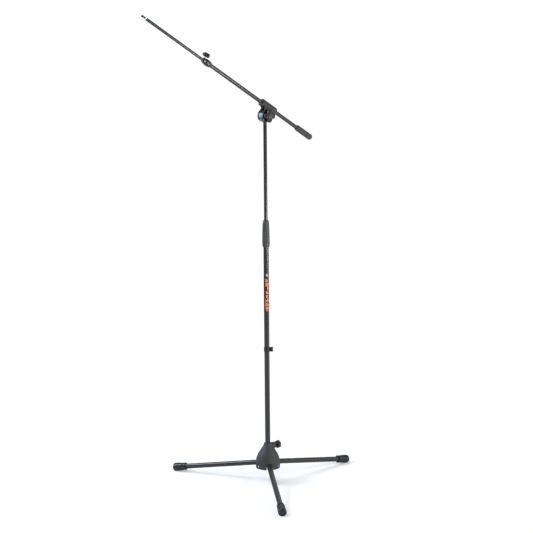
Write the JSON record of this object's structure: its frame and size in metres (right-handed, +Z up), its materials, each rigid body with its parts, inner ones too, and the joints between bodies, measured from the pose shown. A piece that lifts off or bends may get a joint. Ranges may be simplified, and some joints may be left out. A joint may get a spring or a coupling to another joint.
{
  "type": "boom microphone stand",
  "caption": "Floor stand with folding legs, telescopic mast and a tilting telescopic boom that ends in a microphone thread.",
  "frame": {"origin": "on the mast axis at floor level", "axes": "+Z up along the mast; leg 1 points along +X; the boom lies in the XZ plane with its threaded tip towards -X and up; the large tilt knob is on the -Y side"},
  "size_m": [1.0313, 0.778, 1.9566],
  "materials": {
    "housing_casting": "textured powder coat on die-cast aluminium",
    "black_tube": "satin powder coat",
    "clamp_casting": "satin powder coat on die-cast aluminium",
    "barrel_casting": "gloss coat on die-cast aluminium",
    "black_plastic": "moulded",
    "grey_plastic": "moulded",
    "pom_plastic": "smooth",
    "rubber_foot": "matte",
    "grip_rubber": "matte",
    "zinc_steel": "zinc plated",
    "chrome_ring": "bright",
    "dark_steel": "black oxide",
    "label_film": "printed film",
    "fibre": "pressed fibre"
  },
  "bodies": {
    "base": {"base_housing": "housing_casting", "leg_hinge_pins": "zinc_steel", "rim_screws": "zinc_steel", "base_clamp_pad": "pom_plastic"},
    "base_knob": {"base_clamp_stud": "zinc_steel", "base_clamp_knob": "black_plastic"},
    "lower_mast": {"lower_mast_tube": "black_tube", "mast_support_plate": "pom_plastic", "tube_label": "label_film", "clutch_body": "grey_plastic", "clutch_collet": "pom_plastic"},
    "clip": {"cable_clip": "black_plastic"},
    "clutch_grip": {"height_clutch_grip": "grey_plastic"},
    "height_bush": {"upper_guide_bush": "pom_plastic"},
    "upper_mast": {"upper_mast_tube": "black_tube", "head_knuckle": "barrel_casting", "head_set_screw": "dark_steel"},
    "tilt_head": {"boom_clamp": "clamp_casting", "tilt_bolt": "zinc_steel", "friction_washers": "fibre", "tilt_washer": "zinc_steel"},
    "tilt_knob": {"tilt_knob": "black_plastic", "tilt_knob_cap": "grey_plastic"},
    "liner": {"boom_liner": "pom_plastic"},
    "outer_boom": {"outer_boom_tube": "black_tube", "boom_clutch_collar": "clamp_casting", "boom_clutch_pad": "pom_plastic", "boom_clutch_ring": "chrome_ring", "boom_grip": "grip_rubber", "boom_grip_cap": "grip_rubber"},
    "boom_lock": {"boom_clutch_stud": "zinc_steel", "boom_clutch_knob": "black_plastic"},
    "inner_bush": {"inner_boom_bush": "pom_plastic"},
    "inner_boom": {"inner_boom_tube": "black_tube", "boom_tip_stud": "dark_steel", "boom_tip_ring": "chrome_ring"},
    "leg_1": {"leg_1_tube": "black_tube", "leg_1_hinge_lug": "housing_casting", "leg_1_foot": "rubber_foot"},
    "leg_2": {"leg_2_tube": "black_tube", "leg_2_hinge_lug": "housing_casting", "leg_2_foot": "rubber_foot"},
    "leg_3": {"leg_3_tube": "black_tube", "leg_3_hinge_lug": "housing_casting", "leg_3_foot": "rubber_foot"}
  },
  "joints": [
    {"name": "base_knob_turn", "type": "hinge", "parent": "base", "child": "base_knob", "pos_m": [0, 0, 0.156], "axis": [1, 0, 0], "range_deg": [0, 540]},
    {"name": "leg_1_fold", "type": "hinge", "parent": "base", "child": "leg_1", "pos_m": [0.025, 0, 0.0853], "axis": [0, 1, 0], "range_deg": [0, 80]},
    {"name": "leg_2_fold", "type": "hinge", "parent": "base", "child": "leg_2", "pos_m": [-0.0125, 0.02165, 0.0853], "axis": [-0.866, -0.5, 0], "range_deg": [0, 80]},
    {"name": "leg_3_fold", "type": "hinge", "parent": "base", "child": "leg_3", "pos_m": [-0.0125, -0.02165, 0.0853], "axis": [0.866, -0.5, 0], "range_deg": [0, 80]},
    {"name": "mast_lift", "type": "slide", "parent": "base", "child": "lower_mast", "axis": [0, 0, 1], "range_m": [0, 0.03]},
    {"name": "clip_slide", "type": "slide", "parent": "lower_mast", "child": "clip", "axis": [0, 0, 1], "range_m": [-0.38, 0.14]},
    {"name": "height_clutch_twist", "type": "hinge", "parent": "lower_mast", "child": "clutch_grip", "pos_m": [0, 0, 1], "axis": [0, 0, 1], "range_deg": [0, 120]},
    {"name": "height_slide", "type": "slide", "parent": "lower_mast", "child": "height_bush", "axis": [0, 0, 1], "range_m": [-0.385, 0.2]},
    {"name": "mast_swivel", "type": "hinge", "parent": "height_bush", "child": "upper_mast", "pos_m": [0, 0, 0.83], "axis": [0, 0, 1], "continuous": true},
    {"name": "boom_tilt", "type": "hinge", "parent": "upper_mast", "child": "tilt_head", "pos_m": [0, 0, 1.551], "axis": [0, 1, 0], "range_deg": [-121, 58]},
    {"name": "tilt_knob_turn", "type": "hinge", "parent": "tilt_head", "child": "tilt_knob", "pos_m": [0, 0, 1.551], "axis": [0, -1, 0], "range_deg": [0, 540]},
    {"name": "boom_roll", "type": "hinge", "parent": "tilt_head", "child": "liner", "pos_m": [0.01993, 0, 1.58359], "axis": [-0.8531, 0, 0.5218], "continuous": true},
    {"name": "boom_slide", "type": "slide", "parent": "liner", "child": "outer_boom", "axis": [-0.8531, 0, 0.5218], "range_m": [-0.285, 0.125]},
    {"name": "boom_lock_turn", "type": "hinge", "parent": "outer_boom", "child": "boom_lock", "pos_m": [-0.29913, 0, 1.77872], "axis": [0.5218, 0, 0.8531], "range_deg": [0, 540]},
    {"name": "boom_extend", "type": "slide", "parent": "outer_boom", "child": "inner_bush", "axis": [-0.8531, 0, 0.5218], "range_m": [-0.305, 0.1]},
    {"name": "inner_boom_roll", "type": "hinge", "parent": "inner_bush", "child": "inner_boom", "pos_m": [-0.18055, 0, 1.7062], "axis": [-0.8531, 0, 0.5218], "continuous": true}
  ]
}
